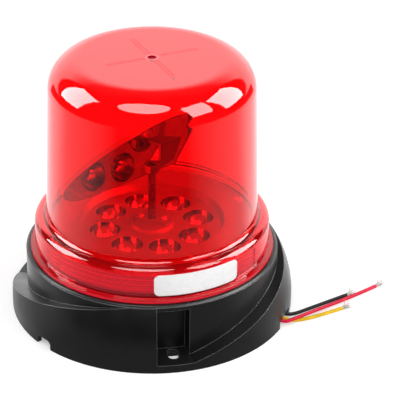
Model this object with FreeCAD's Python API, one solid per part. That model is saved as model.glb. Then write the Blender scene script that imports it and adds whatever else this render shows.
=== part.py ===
"""Rotating warning beacon: a three-bolt base, a twist-off lens and a gear-driven mirror over a ring of LEDs.

Millimetres, +Z up. The origin is the centre of the base's underside. An azimuth is measured from the
front (-Y) towards the right (+X). Every function at the bottom makes one piece, and SUBPARTS names them.
"""

import FreeCAD, Part
import math
import os
from FreeCAD import Placement, Rotation, Vector

# ---- base housing -------------------------------------------------------------------------------
foot_radius = 82.5  # outer radius where the base meets the surface
foot_height = 6.0  # straight rim below the curved side
foot_ring = 3.0  # width of the outer foot ring
inner_foot_radius = foot_radius - 16.5
inner_foot_width = 6.0
shoulder_radius = foot_radius - 9.5  # collar that the lens stands on
shoulder_height = 38.0
shoulder_round = 1.2
shoulder_lip = 0.4  # how far the curved side stands out past the shoulder where the ramps cut it
housing_wall = 2.7
neck_radius = foot_radius - 18.6
neck_wall = 2.5
well_radius = neck_radius - 5.9
well_floor = 5.5
well_floor_thickness = 2.5
neck_height = 13.5
ledge_height = 34.0  # seat of the chassis plate
unit_count = 3  # bolt pockets, ramps, notches, lens lugs and screws all come in threes
unit_turn = 360.0 / unit_count

# ---- bolt pockets and the ramps between them ----------------------------------------------------
pocket_azimuth = 9.5
pocket_low_side = 7.5  # degrees from the bolt to the tall end wall
pocket_high_side = 7.0
pocket_floor = 4.9
pocket_top = 34.5
pocket_back_radius = foot_radius - 18.0
ramp_from = pocket_high_side  # degrees past the bolt where the ramp starts and ends
ramp_to = 110.0
ramp_shape = 1.35
bolt_circle_radius = foot_radius - 11.5
slot_length = 10.0
slot_width = 6.2

# ---- cable notches in the foot rim --------------------------------------------------------------
notch_azimuth = -48.25
notch_width = 11.4
notch_height = 5.5
notch_round = 2.5
lead_azimuth = 69.5
lead_notch_width = 17.2
lead_spacing = 3.0
lead_height = 10.3
lead_diameter = 2.1
lead_straight = 13.9  # run from the terminal block out past the grommet
grommet_lip = 1.5  # thickness of the grommet's inner flange
grommet_rim = 3.25  # how far that flange stands out round the leads
grommet_wall = 1.7
grommet_depth = 5.0
grommet_fit = 0.1

# ---- lens ---------------------------------------------------------------------------------------
lens_height = 154.7  # top of the lens above the surface
lens_wall = 2.5
lens_top_round = 17.8
lens_top_radius = 58.6
lens_waist_radius = neck_radius - 2.7
lens_waist_height = 61.0
lens_crease_radius = neck_radius + 0.4
lens_crease_height = 58.3
skirt_radius = neck_radius + 4.1
skirt_wall = 2.4
skirt_top = 53.8
bead_radius = skirt_radius + 2.7
bead_height = 1.6
bead_flare = 0.5
rim_gap = 0.15
top_rib_length = 56.0
top_rib_width = 2.0
top_rib_depth = 1.0
top_rib_azimuth = 114.4
gate_radius = 2.4
gate_depth = 0.6

# ---- twist lock between lens and neck -----------------------------------------------------------
lock_rib_count = 3
lock_rib_pitch = 3.0
lock_rib_height = 0.9
lock_rib_depth = 1.1
lock_rib_low = 43.6
lock_gap_azimuth = 28.0
lock_gap_width = 20.0
lock_stop_azimuth = 58.0
lock_stop_width = 1.3
lug_width = 13.0
lug_height = 1.2
lug_depth = 1.3
lug_clearance = 0.3
lug_stop_gap = 1.4

# ---- label --------------------------------------------------------------------------------------
label_azimuth = 22.5
label_width = 50.0
label_low = 41.6
label_high = 54.6
label_round = 3.0
label_thickness = 0.3

# ---- seal ---------------------------------------------------------------------------------------
seal_width = 2.5
seal_height = 2.4
seal_clearance = 0.3

# ---- chassis, LED board and LEDs ----------------------------------------------------------------
chassis_radius = neck_radius - 2.9
chassis_thickness = 2.0
chassis_screw_radius = chassis_radius - 9.0
chassis_screw_azimuth = 32.0
boss_radius = 4.5
led_ring_radius = chassis_radius * 0.459
led_board_radius = led_ring_radius + 13.0
led_board_bore = 8.0
board_thickness = 1.6
led_count = 8
led_first_azimuth = 15.0
led_size = 3.5
led_body_height = 1.0
led_dome_radius = 1.4
board_screw_radius = 16.5
board_screw_azimuth = 37.5

# ---- reflector ----------------------------------------------------------------------------------
reflector_radius = chassis_radius - 1.0
reflector_top = 54.0
reflector_wall = 1.5
reflector_skirt = 4.5
dish_floor_radius = led_ring_radius + 12.0
dish_radius = dish_floor_radius + 2.0
dish_depth = 4.0
cup_radius = 9.0
cup_wall = 1.1
cup_throat_radius = 2.4
cup_throat_gap = 0.5  # above the LED's dome
hub_radius = 12.0
hub_rise = 2.0
hub_tube_radius = 6.5
reflector_screw_radius = reflector_radius - 4.0
reflector_screw_azimuth = 112.0
standoff_radius = 2.4

# ---- bearings and spindle -----------------------------------------------------------------------
spindle_radius = 2.2
spindle_top = 88.7
spindle_socket_radius = 1.4
spindle_socket_depth = 3.0
running_clearance = 0.05
bearing_radius = 3.9
bearing_length = 9.0
bearing_flange = 2.0
bearing_screw_radius = 6.9
bearing_screw_azimuth = 77.7
bearing_ear_radius = 4.2
floor_boss_radius = 6.5
floor_boss_height = 5.5
lower_flange_radius = 5.5
lower_flange = 1.0
washer_thickness = 0.5
washer_radius = 5.0

# ---- gear drive ---------------------------------------------------------------------------------
gear_module = 0.8
gear_teeth = 48
pinion_teeth = 12
pressure_angle = 25.0
tooth_addendum = 0.9  # in modules
tooth_dedendum = 1.2
tooth_backlash = 0.16
gear_width = 4.0
gear_low = 15.0
gear_hub_radius = 5.0
gear_hub_height = 8.0
gear_window_radius = 3.6
gear_window_count = 5
pinion_overhang = 0.5
motor_azimuth = -62.0
motor_radius = 13.0
motor_height = 11.5
motor_nose_radius = 3.5
motor_nose_height = 1.5
motor_shaft_radius = 1.0
motor_shaft_depth = 5.0
motor_screw_spread = 8.0

# ---- driver board -------------------------------------------------------------------------------
driver_outer = well_radius - 5.0  # farthest and nearest edge from the spindle, along the leads
driver_inner = driver_outer - 26.0
driver_width = 40.0
driver_pad_radius = 3.0
driver_pad_height = 1.0
terminal_depth = 9.0
terminal_width = 15.2
terminal_height = 9.5
terminal_overhang = 1.5
capacitor_radius = 4.0
capacitor_height = 11.0
coil_radius = 5.0
coil_height = 5.5

# ---- screws -------------------------------------------------------------------------------------
m3_radius = 1.5
m3_head_radius = 2.8
m3_head_height = 1.8
m3_length = 8.0
small_head_radius = 2.2
small_screw_radius = 1.1
small_head_height = 1.4
small_length = 3.0
socket_depth = 0.9

# ---- mirror and its holder ----------------------------------------------------------------------
mirror_turn = 36.0  # azimuth that the beam leaves in at rest
mirror_tilt = 50.0
mirror_height = 99.0  # where the reflecting face crosses the spindle's axis
mirror_thickness = 1.2
tray_thickness = 3.2
tray_lip = 1.2
tray_fit = 0.15
collar_radius = 4.1
collar_height = 4.5
web_thickness = 1.8
web_rise = 9.0  # how far the web's outer corner stands above the collar's foot
mirror_screw_place = (14.0, 25.0)
mirror_screw_height = 2.6

# Points of the mirror's edge in its own plane: x towards its left seen from the beam, y up the slope.
mirror_foot = (22.0, -52.0)
mirror_heel = (-36.0, -42.0)
mirror_step = (-24.0, 8.0)
mirror_notch = (-17.5, 13.0)
mirror_brow = (-13.5, 31.0)
mirror_crown = (-1.0, 38.0)
mirror_temple = (13.0, 33.0)
mirror_cheek = (37.0, 11.5)
mirror_side = (47.0, -19.0)
mirror_jaw = (41.0, -41.0)
window_corners = [(-5.0, -5.0), (-20.0, -5.0), (-26.0, -33.0), (-9.0, -24.0)]
web_slot_top = 3.0
web_bar_draft = 1.4  # how far the bar that closes the slot draws in towards the window

# ---- leads: route points from the terminal block to the bare end, chosen by hand -----------------
strand_length = 5.5
strand_radius = 0.28
strand_count = 7
strand_spread = 16.0
core_radius = 0.75


# ================================ helpers ========================================================
def turned(shape, azimuth):
    """A copy of a shape made at azimuth 0 of the X axis, turned to an azimuth from the front."""
    copy = shape.copy()
    copy.rotate(Vector(0, 0, 0), Vector(0, 0, 1), azimuth - 90.0)
    return copy


def place(radius, azimuth, height=0.0):
    angle = math.radians(azimuth)
    return Vector(radius * math.sin(angle), -radius * math.cos(angle), height)


def around(shape, azimuth, count=unit_count):
    """Copies of a shape on the X axis, evenly round Z, the first at the azimuth."""
    return [turned(shape, azimuth + 360.0 * n / count) for n in range(count)]


def disc(radius, low, high, at=None):
    centre = at or Vector(0, 0, 0)
    return Part.makeCylinder(radius, high - low, Vector(centre.x, centre.y, low))


def ring(outer, inner, low, high, at=None):
    return disc(outer, low, high, at).cut(disc(inner, low - 1, high + 1, at))


def block(x_low, x_high, y_width, low, high):
    return Part.makeBox(x_high - x_low, y_width, high - low, Vector(x_low, -y_width / 2, low))


def outline(start, *steps):
    """A closed wire from (x, z) points. A step is a point, or a (middle, end) pair for an arc."""
    here = Vector(start[0], 0, start[1])
    first = here
    edges = []
    for step in steps:
        if isinstance(step[0], tuple):
            middle, end = (Vector(p[0], 0, p[1]) for p in step)
            edges.append(Part.Arc(here, middle, end).toShape())
        else:
            end = Vector(step[0], 0, step[1])
            edges.append(Part.LineSegment(here, end).toShape())
        here = end
    if here.distanceToPoint(first) > 1e-6:
        edges.append(Part.LineSegment(here, first).toShape())
    return Part.Wire(edges)


def lathe(start, *steps, turn=360.0):
    return Part.Face(outline(start, *steps)).revolve(Vector(0, 0, 0), Vector(0, 0, 1), turn)


def sector(outer, inner, low, high, from_azimuth, to_azimuth):
    """A piece of a ring between two azimuths."""
    piece = lathe((inner, low), (outer, low), (outer, high), (inner, high), turn=to_azimuth - from_azimuth)
    return turned(piece, from_azimuth)


def arc_step(centre, start, end):
    """The (middle, end) step of the arc about a centre, on the side of its start and end points."""
    radius = math.dist(centre, start)
    middle = ((start[0] + end[0]) / 2 - centre[0], (start[1] + end[1]) / 2 - centre[1])
    scale = radius / math.hypot(*middle)
    return ((centre[0] + middle[0] * scale, centre[1] + middle[1] * scale), end)


def fused(shapes):
    return shapes[0].multiFuse(shapes[1:]).removeSplitter() if len(shapes) > 1 else shapes[0]


def pan_screw(radius, head_radius, head_height, length):
    """A cross-recessed screw with its head's seat at z = 0 and its shank downwards."""
    head = lathe((0, 0), (head_radius, 0), (head_radius, head_height * 0.4),
                 (head_radius * 0.55, head_height), (0, head_height))
    shank = disc(radius, -length, 0.0)
    screw = head.fuse(shank).removeSplitter()
    arm = head_radius * 1.1
    for angle in (0, 90):
        bar = Part.makeBox(arm, arm * 0.28, socket_depth, Vector(-arm / 2, -arm * 0.14, head_height - socket_depth))
        bar.rotate(Vector(0, 0, 0), Vector(0, 0, 1), angle)
        screw = screw.cut(bar)
    return screw


def set_at(shape, spots):
    copies = []
    for spot in spots:
        copy = shape.copy()
        copy.translate(spot)
        copies.append(copy)
    return Part.makeCompound(copies)


def spots(radius, azimuth, height, count=unit_count):
    return [place(radius, azimuth + 360.0 * n / count, height) for n in range(count)]


# ================================ places worked out from the sizes ===============================
side_arc_radius = ((foot_radius - shoulder_radius) ** 2 + (shoulder_height - foot_height) ** 2) / (
    2 * (foot_radius - shoulder_radius))
side_arc_centre = (foot_radius - side_arc_radius, foot_height)
rim_height = shoulder_height + rim_gap
neck_top = shoulder_height + neck_height
chassis_top = ledge_height + chassis_thickness
board_top = chassis_top + board_thickness
led_top = board_top + led_body_height + led_dome_radius
dish_floor = reflector_top - dish_depth
hub_top = dish_floor + hub_rise
skirt_inner = skirt_radius - skirt_wall
lower_bearing_top = well_floor + floor_boss_height
washer_low = lower_bearing_top + lower_flange
gear_hub_low = washer_low + washer_thickness + running_clearance
gear_pitch_radius = gear_module * gear_teeth / 2
pinion_pitch_radius = gear_module * pinion_teeth / 2
motor_centre = place(gear_pitch_radius + pinion_pitch_radius, motor_azimuth)
motor_low = ledge_height - motor_height
driver_low = well_floor + driver_pad_height
driver_top = driver_low + board_thickness
terminal_face = driver_outer + terminal_overhang


# ================================ base ===========================================================
def side_radius(height, inset=0.0):
    """Outer radius of the curved side, moved inwards by an inset."""
    if height <= foot_height:
        return foot_radius - inset
    reach = side_arc_radius - inset
    return side_arc_centre[0] + math.sqrt(reach ** 2 - (height - foot_height) ** 2)


def ramp_height(turn):
    """Height of the ramp, by its angle past the bolt."""
    share = min(max((turn - ramp_from) / (ramp_to - ramp_from), 0.0), 1.0)
    return pocket_floor + (shoulder_height - pocket_floor) * (1 - (1 - share) ** ramp_shape)


def ramp_prism(inner, outer, from_turn, to_turn, drop, rise):
    """The space above (rise > 0) or below (rise < 0) the ramp's surface, moved down by a drop."""
    turns = [from_turn] + [ramp_from + t for t in (-4, -1, 1) if ramp_from + t > from_turn]
    step = 8.0
    while turns[-1] + step * 1.4 < to_turn:
        turns.append(turns[-1] + step)
    turns.append(to_turn)
    edges = []
    for radius in (inner, outer):
        points = [place(radius, pocket_azimuth + t, ramp_height(t) - drop) for t in turns]
        curve = Part.BSplineCurve()
        curve.interpolate(points)
        edges.append(curve.toShape())
    return Part.makeRuledSurface(edges[0], edges[1]).extrude(Vector(0, 0, rise))


def core_space():
    """Inside of the hollow between the two foot rings, one wall inside the curved side."""
    top = shoulder_height - 2 * housing_wall
    side_start = (side_radius(0, foot_ring), foot_height)
    side_end = (side_radius(top, foot_ring), top)
    return lathe((inner_foot_radius, -1), (side_start[0], -1), side_start,
                 arc_step(side_arc_centre, side_start, side_end), (inner_foot_radius, top))


def notch(width, azimuth):
    cut = block(side_radius(0, foot_ring) - 2, foot_radius + 2, width, -notch_round, notch_height)
    along = [e for e in cut.Edges if abs(e.BoundBox.XLength - (foot_ring + 4)) < 0.01
             and e.BoundBox.ZMin > notch_height - 0.01]
    return turned(cut.makeFillet(notch_round, along), azimuth)


def base_housing():
    shoulder_start = (shoulder_radius, shoulder_height - shoulder_round)
    shoulder_end = (shoulder_radius - shoulder_round, shoulder_height)
    side_start = (foot_radius, foot_height)
    body = lathe(
        (0, well_floor - well_floor_thickness),
        (inner_foot_radius - inner_foot_width, well_floor - well_floor_thickness),
        (inner_foot_radius - inner_foot_width, 0), (foot_radius, 0), side_start,
        arc_step(side_arc_centre, side_start, (side_radius(shoulder_start[1]), shoulder_start[1])),
        shoulder_start,
        arc_step((shoulder_end[0], shoulder_start[1]), shoulder_start, shoulder_end),
        (neck_radius, shoulder_height), (neck_radius, neck_top), (neck_radius - neck_wall, neck_top),
        (neck_radius - neck_wall, ledge_height), (well_radius, ledge_height), (well_radius, well_floor),
        (0, well_floor))
    far = foot_radius + 10
    open_radius = shoulder_radius + shoulder_lip
    over_top = shoulder_height + 20
    outside = ring(far - 4, open_radius, -5, over_top)
    inside = core_space()
    cuts = []
    for n in range(unit_count):
        turn = unit_turn * n
        ramp = ramp_prism(shoulder_radius - 8, far, pocket_high_side, ramp_to, 0.0, 60).common(outside)
        core = ramp_prism(inner_foot_radius - 6, far, -pocket_low_side - 5.5,
                          unit_turn - pocket_low_side - 3.5, housing_wall, -60).common(inside)
        for cut in (ramp, core):
            cut.rotate(Vector(0, 0, 0), Vector(0, 0, 1), turn)
            cuts.append(cut)
        azimuth = pocket_azimuth + turn
        low, high = azimuth - pocket_low_side, azimuth + pocket_high_side
        cuts.append(sector(far - 4, pocket_back_radius, pocket_floor, pocket_top, low, high))
        cuts.append(sector(far - 4, open_radius, pocket_top - 1, over_top, low, high))
        half = (slot_length - slot_width) / 2
        slot = fused([disc(slot_width / 2, -1, pocket_floor + 1, Vector(bolt_circle_radius - half, 0, 0)),
                      disc(slot_width / 2, -1, pocket_floor + 1, Vector(bolt_circle_radius + half, 0, 0)),
                      block(bolt_circle_radius - half, bolt_circle_radius + half, slot_width, -1,
                            pocket_floor + 1)])
        cuts.append(turned(slot, azimuth))
    body = body.cut(cuts)
    lead_bay = sector(inner_foot_radius + 1, well_radius + 3, well_floor - well_floor_thickness,
                      lead_height + 7, lead_azimuth - 8, lead_azimuth + 8)
    openings = [notch(notch_width, notch_azimuth), notch(notch_width, notch_azimuth + 2 * unit_turn),
                notch(lead_notch_width, lead_azimuth), lead_bay, turned(grommet_plug(0.0), lead_azimuth)]
    body = body.cut(openings)
    lugs = []
    for n in range(lock_rib_count - 1):
        low = lock_rib_low + n * lock_rib_pitch + lock_rib_height + lug_clearance
        for k in range(unit_count):
            end = lock_stop_azimuth - lug_stop_gap + k * unit_turn
            lugs.append(sector(neck_radius + lug_depth, neck_radius - 1, low, low + lug_height,
                               end - lug_width, end))
    bosses = [disc(boss_radius, well_floor - 1, ledge_height, spot)
              for spot in spots(chassis_screw_radius, chassis_screw_azimuth, 0)]
    bosses.append(disc(floor_boss_radius, well_floor - 1, lower_bearing_top))
    bosses += [disc(driver_pad_radius, well_floor - 1, driver_low, spot) for spot in driver_screw_spots()]
    body = body.multiFuse(lugs + bosses)
    holes = [disc(m3_radius, ledge_height - m3_length, ledge_height + 1, spot)
             for spot in spots(chassis_screw_radius, chassis_screw_azimuth, 0)]
    holes.append(disc(bearing_radius, well_floor, lower_bearing_top + 1))
    holes += [disc(small_screw_radius, driver_top - small_length, driver_low + 1, spot)
              for spot in driver_screw_spots()]
    return body.cut(holes).removeSplitter()


# ================================ lens ===========================================================
def lens_profile(offset=0.0):
    """Outer outline of the lens from its axis to its rim, moved outwards by an offset."""
    top = lens_height + offset
    round_radius = lens_top_round + offset
    flat = lens_top_radius - lens_top_round
    wall_top = lens_height - lens_top_round
    skirt = skirt_radius + offset
    bead_top = rim_height + bead_height
    return [(0, top), (flat, top),
            arc_step((flat, wall_top), (flat, top), (flat + round_radius, wall_top)),
            (lens_waist_radius + offset, lens_waist_height),
            arc_step((lens_crease_radius + 1.5, lens_waist_height + 1.0),
                     (lens_waist_radius + offset, lens_waist_height),
                     (lens_crease_radius + offset, lens_crease_height)),
            arc_step((lens_crease_radius - 0.8, skirt_top), (lens_crease_radius + offset, lens_crease_height),
                     (skirt, skirt_top)),
            (skirt, bead_top + bead_flare), (bead_radius + offset, bead_top), (bead_radius + offset, rim_height)]


def lens():
    outer = lathe((0, rim_height), *lens_profile())
    flat = lens_top_radius - lens_top_round
    wall_top = lens_height - lens_top_round
    ledge = shoulder_height + seal_height + seal_clearance
    inner_top = lens_height - lens_wall
    seal_bore = neck_radius + seal_width + 2 * seal_clearance
    inner = lathe((0, rim_height - 1), (0, inner_top), (flat, inner_top),
                  arc_step((flat, wall_top), (flat, inner_top), (lens_top_radius - lens_wall, wall_top)),
                  (lens_waist_radius - lens_wall, lens_waist_height - 1),
                  (lens_crease_radius - lens_wall, lens_crease_height - lens_wall * 0.7),
                  (skirt_inner, skirt_top - 1.3), (skirt_inner, ledge), (seal_bore, ledge),
                  (seal_bore, rim_height - 1))
    body = outer.cut(inner)
    additions = []
    for n in range(lock_rib_count):
        low = lock_rib_low + n * lock_rib_pitch
        for k in range(unit_count):
            start = lock_gap_azimuth + lock_gap_width / 2 + k * unit_turn
            additions.append(sector(skirt_inner + 0.5, skirt_inner - lock_rib_depth, low,
                                    low + lock_rib_height, start, start + unit_turn - lock_gap_width))
    stop_low = lock_rib_low
    stop_high = lock_rib_low + (lock_rib_count - 1) * lock_rib_pitch + lock_rib_height
    stop = block(skirt_inner - lock_rib_depth, skirt_inner + 0.5, lock_stop_width, stop_low, stop_high)
    additions += around(stop, lock_stop_azimuth)
    rib = block(-top_rib_length / 2, top_rib_length / 2, top_rib_width, inner_top - top_rib_depth,
                inner_top + 0.5)
    additions += [turned(rib, top_rib_azimuth), turned(rib, top_rib_azimuth + 90)]
    gate = disc(gate_radius, lens_height - gate_depth, lens_height + 1)
    return body.multiFuse(additions).removeSplitter().cut(gate)


def label():
    """Blank sticker wrapped on the skirt, following the lens's own outline."""
    skin = lathe((0, rim_height), *lens_profile(label_thickness)).cut(lathe((0, rim_height), *lens_profile()))
    window = Part.makeBox(skirt_radius, label_width, label_high - label_low,
                          Vector(skirt_radius / 2, -label_width / 2, label_low))
    corners = [e for e in window.Edges if e.BoundBox.XLength > skirt_radius - 1]
    window = turned(window.makeFillet(label_round, corners), label_azimuth)
    return skin.common(window)


def lens_seal():
    return ring(neck_radius + seal_width, neck_radius, shoulder_height, shoulder_height + seal_height)


# ================================ chassis and light source =======================================
def chassis_plate():
    plate = ring(chassis_radius, led_board_bore / 2, ledge_height, chassis_top)
    holes = [disc(m3_radius, ledge_height - 1, chassis_top + 1, spot)
             for spot in spots(chassis_screw_radius, chassis_screw_azimuth, 0)
             + spots(reflector_screw_radius, reflector_screw_azimuth, 0)]
    holes += [disc(small_screw_radius, ledge_height - 1, chassis_top + 1, spot)
              for spot in spots(board_screw_radius, board_screw_azimuth, 0)]
    holes += [sunk_screw(spot) for spot in motor_screw_spots()]
    return plate.cut(holes)


def chassis_screws():
    screw = pan_screw(m3_radius, m3_head_radius, m3_head_height, m3_length + chassis_thickness - 0.5)
    return set_at(screw, spots(chassis_screw_radius, chassis_screw_azimuth, chassis_top))


def led_board():
    board = ring(led_board_radius, led_board_bore / 2, chassis_top, board_top)
    return board.cut([disc(small_screw_radius, chassis_top - 1, board_top + 1, spot)
                      for spot in spots(board_screw_radius, board_screw_azimuth, 0)])


def led_board_screws():
    screw = pan_screw(small_screw_radius, small_head_radius, small_head_height,
                      board_thickness + chassis_thickness)
    return set_at(screw, spots(board_screw_radius, board_screw_azimuth, board_top))


def leds():
    body = block(-led_size / 2, led_size / 2, led_size, 0, led_body_height)
    dome = Part.makeSphere(led_dome_radius, Vector(0, 0, led_body_height)).common(
        disc(led_dome_radius + 1, led_body_height - 0.2, led_body_height + led_dome_radius + 1))
    return set_at(body.fuse(dome), spots(led_ring_radius, led_first_azimuth, board_top, led_count))


# ================================ reflector ======================================================
def cup_outline(grow):
    """Side of one cup from its throat to its mouth, grown outwards by a wall."""
    throat = led_top + cup_throat_gap
    depth = dish_floor - throat
    start = (cup_throat_radius + grow, throat)
    end = (cup_radius + grow, dish_floor)
    middle = (cup_throat_radius + (cup_radius - cup_throat_radius) * 0.66 + grow, throat + depth * 0.38)
    return start, (middle, end)


def cup(grow, over):
    """One cup as a solid, grown by a wall and carried past its throat and mouth."""
    start, side = cup_outline(grow)
    return lathe((0, start[1] - over), (start[0], start[1] - over), (start[0], start[1] - over / 2), side,
                 (side[1][0], dish_floor + over), (0, dish_floor + over))


def reflector():
    body = lathe(
        (bearing_radius, hub_top), (hub_radius, hub_top), (hub_radius + hub_rise / 2, dish_floor),
        (dish_floor_radius, dish_floor), (dish_radius, reflector_top), (reflector_radius, reflector_top),
        (reflector_radius, reflector_top - reflector_skirt),
        (reflector_radius - reflector_wall, reflector_top - reflector_skirt),
        (reflector_radius - reflector_wall, reflector_top - reflector_wall),
        (dish_radius + reflector_wall, reflector_top - reflector_wall),
        (dish_floor_radius + reflector_wall, dish_floor - reflector_wall),
        (hub_tube_radius, dish_floor - reflector_wall), (hub_tube_radius, board_top),
        (bearing_radius, board_top))
    centres = spots(led_ring_radius, led_first_azimuth, 0, led_count)
    shells = list(set_at(cup(cup_wall, 0.01), centres).Solids)
    hollows = list(set_at(cup(0.0, 1.0), centres).Solids)
    holes = [disc(m3_radius, reflector_top - reflector_skirt, reflector_top + 1, spot)
             for spot in spots(reflector_screw_radius, reflector_screw_azimuth, 0)]
    holes += [disc(small_screw_radius, hub_top - small_length, hub_top + 1, spot)
              for spot in spots(bearing_screw_radius, bearing_screw_azimuth, 0, 2)]
    return body.multiFuse(shells).cut(hollows + holes).removeSplitter()


def reflector_standoffs():
    seat = reflector_top - reflector_wall
    column = disc(standoff_radius, chassis_top, seat).fuse(disc(m3_radius, ledge_height, chassis_top))
    column = column.cut(disc(m3_radius, reflector_top - m3_length, reflector_top))
    return set_at(column, spots(reflector_screw_radius, reflector_screw_azimuth, 0))


def reflector_screws():
    screw = pan_screw(m3_radius, m3_head_radius, m3_head_height, m3_length)
    return set_at(screw, spots(reflector_screw_radius, reflector_screw_azimuth, reflector_top))


# ================================ bearings =======================================================
def upper_bearing():
    """Two-eared flanged bush in the reflector's hub."""
    ears = [disc(bearing_ear_radius, hub_top, hub_top + bearing_flange, spot)
            for spot in spots(bearing_screw_radius, bearing_screw_azimuth, 0, 2)]
    bridge = turned(block(-bearing_screw_radius, bearing_screw_radius, 2 * bearing_ear_radius, hub_top,
                          hub_top + bearing_flange), bearing_screw_azimuth)
    body = fused([disc(bearing_radius, hub_top - bearing_length, hub_top), bridge] + ears)
    holes = [disc(small_screw_radius, hub_top - 1, hub_top + bearing_flange + 1, spot)
             for spot in spots(bearing_screw_radius, bearing_screw_azimuth, 0, 2)]
    holes.append(disc(spindle_radius + running_clearance, 0, reflector_top + 5))
    return body.cut(holes)


def bearing_screws():
    screw = pan_screw(small_screw_radius, small_head_radius, small_head_height, bearing_flange + small_length)
    return set_at(screw, spots(bearing_screw_radius, bearing_screw_azimuth, hub_top + bearing_flange, 2))


def lower_bearing():
    bore = spindle_radius + running_clearance
    return lathe((bore, well_floor), (bearing_radius, well_floor), (bearing_radius, lower_bearing_top),
                 (lower_flange_radius, lower_bearing_top), (lower_flange_radius, washer_low),
                 (bore, washer_low))


def thrust_washer():
    return ring(washer_radius, spindle_radius + running_clearance, washer_low, washer_low + washer_thickness)


# ================================ drive ==========================================================
def involute(base, radius):
    """Angle that an involute has turned through where it reaches a radius."""
    ratio = math.sqrt(max((radius / base) ** 2 - 1, 0.0))
    return ratio - math.atan(ratio)


def gear_wire(teeth):
    """Outline of a spur gear with involute flanks, one tooth centred on the X axis."""
    pitch = gear_module * teeth / 2
    base = pitch * math.cos(math.radians(pressure_angle))
    tip = pitch + tooth_addendum * gear_module
    root = pitch - tooth_dedendum * gear_module
    half_tooth = math.pi / (2 * teeth) - tooth_backlash / (2 * pitch) + involute(base, pitch)
    start = max(base, root)
    radii = [start, pitch, (pitch + tip) / 2, tip]
    flank = [(r, half_tooth - involute(base, r)) for r in radii]
    if root < base:
        flank.insert(0, (root, half_tooth))
    points = []
    for n in range(teeth):
        middle = 2 * math.pi * n / teeth
        side = [(r, middle - a) for r, a in flank] + [(r, middle + a) for r, a in reversed(flank)]
        points += [Vector(r * math.cos(a), r * math.sin(a), 0) for r, a in side]
    return Part.makePolygon(points + points[:1])


def gear_blank(teeth, low, high):
    wire = gear_wire(teeth)
    wire.translate(Vector(0, 0, low))
    return Part.Face(wire).extrude(Vector(0, 0, high - low))


def spindle():
    rod = disc(spindle_radius, well_floor + running_clearance * 4, spindle_top - running_clearance * 4)
    return rod.cut(disc(spindle_socket_radius, spindle_top - spindle_socket_depth, spindle_top + 1))


def spindle_gear():
    gear = turned(gear_blank(gear_teeth, gear_low, gear_low + gear_width), motor_azimuth)
    hub = disc(gear_hub_radius, gear_hub_low, gear_hub_low + gear_hub_height)
    window_circle = (gear_hub_radius + gear_pitch_radius) / 2
    windows = [disc(gear_window_radius, gear_low - 1, gear_low + gear_width + 1, spot)
               for spot in spots(window_circle, motor_azimuth + 180.0 / gear_window_count, 0,
                                 gear_window_count)]
    return gear.fuse(hub).cut(windows + [disc(spindle_radius, gear_low - 10, gear_low + 20)])


def motor_pinion():
    half_pitch = 180.0 / pinion_teeth
    wheel = gear_blank(pinion_teeth, gear_low - pinion_overhang, gear_low + gear_width + pinion_overhang)
    wheel = turned(wheel, motor_azimuth + 180.0 + (half_pitch if pinion_teeth % 2 == 0 else 0.0))
    wheel.translate(motor_centre)
    return wheel.cut(disc(motor_shaft_radius, 0, ledge_height, motor_centre))


def motor_shaft():
    return disc(motor_shaft_radius, gear_low - pinion_overhang, motor_low + motor_shaft_depth, motor_centre)


def motor_screw_spots():
    across = place(motor_screw_spread, motor_azimuth + 90.0)
    return [motor_centre + across, motor_centre - across]


def sunk_screw(spot):
    """Flat-headed screw with its head flush with the top of the chassis plate."""
    head = Part.makeCone(m3_radius, m3_head_radius, chassis_thickness, Vector(spot.x, spot.y, ledge_height))
    return head.fuse(disc(m3_radius, ledge_height - m3_length / 2, ledge_height, spot)).removeSplitter()


def drive_motor():
    can = disc(motor_radius, motor_low, ledge_height, motor_centre)
    nose = disc(motor_nose_radius, motor_low - motor_nose_height, motor_low, motor_centre)
    body = can.makeFillet(0.8, [e for e in can.Edges if e.BoundBox.ZMax < motor_low + 0.1]).fuse(nose)
    cuts = [disc(motor_shaft_radius + running_clearance, 0, motor_low + motor_shaft_depth + 0.3, motor_centre)]
    cuts += [disc(m3_radius, ledge_height - m3_length / 2, ledge_height + 1, spot)
             for spot in motor_screw_spots()]
    return body.cut(cuts).removeSplitter()


def motor_screws():
    socket = disc(small_screw_radius, chassis_top - socket_depth, chassis_top + 1)
    return Part.makeCompound([sunk_screw(spot).cut(set_at(socket, [Vector(spot.x, spot.y, 0)]))
                              for spot in motor_screw_spots()])


# ================================ driver board ===================================================
def on_board(along, across, height=0.0):
    """A place on the driver board: along the leads from the spindle, and across them."""
    return place(along, lead_azimuth, height) + place(across, lead_azimuth + 90.0)


def driver_screw_spots():
    edge = driver_pad_radius + 0.5
    return [on_board(along, side * (driver_width / 2 - edge))
            for along in (driver_inner + edge, driver_outer - edge) for side in (-1, 1)]


def driver_board():
    board = turned(block(driver_inner, driver_outer, driver_width, driver_low, driver_top), lead_azimuth)
    return board.cut([disc(small_screw_radius, driver_low - 1, driver_top + 1, spot)
                      for spot in driver_screw_spots()])


def driver_board_screws():
    screw = pan_screw(small_screw_radius, small_head_radius, small_head_height, small_length)
    return set_at(screw, [spot + Vector(0, 0, driver_top) for spot in driver_screw_spots()])


def terminal_block():
    body = block(terminal_face - terminal_depth, terminal_face, terminal_width, driver_top,
                 driver_top + terminal_height)
    screws = [disc(lead_spacing * 0.45, driver_top + terminal_height - 1.2, driver_top + terminal_height + 1,
                   Vector(terminal_face - terminal_depth / 2, lead_spacing * k, 0)) for k in (-1, 0, 1)]
    return turned(body.cut(screws), lead_azimuth)


def driver_capacitors():
    can = disc(capacitor_radius, driver_top, driver_top + capacitor_height)
    top_edge = [e for e in can.Edges if e.BoundBox.ZMin > driver_top + capacitor_height - 0.1]
    along = driver_inner + capacitor_radius + 1.5
    places = [on_board(along, side * (capacitor_radius + 0.8)) for side in (-1, 1)]
    return set_at(can.makeFillet(0.6, top_edge), places)


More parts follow.
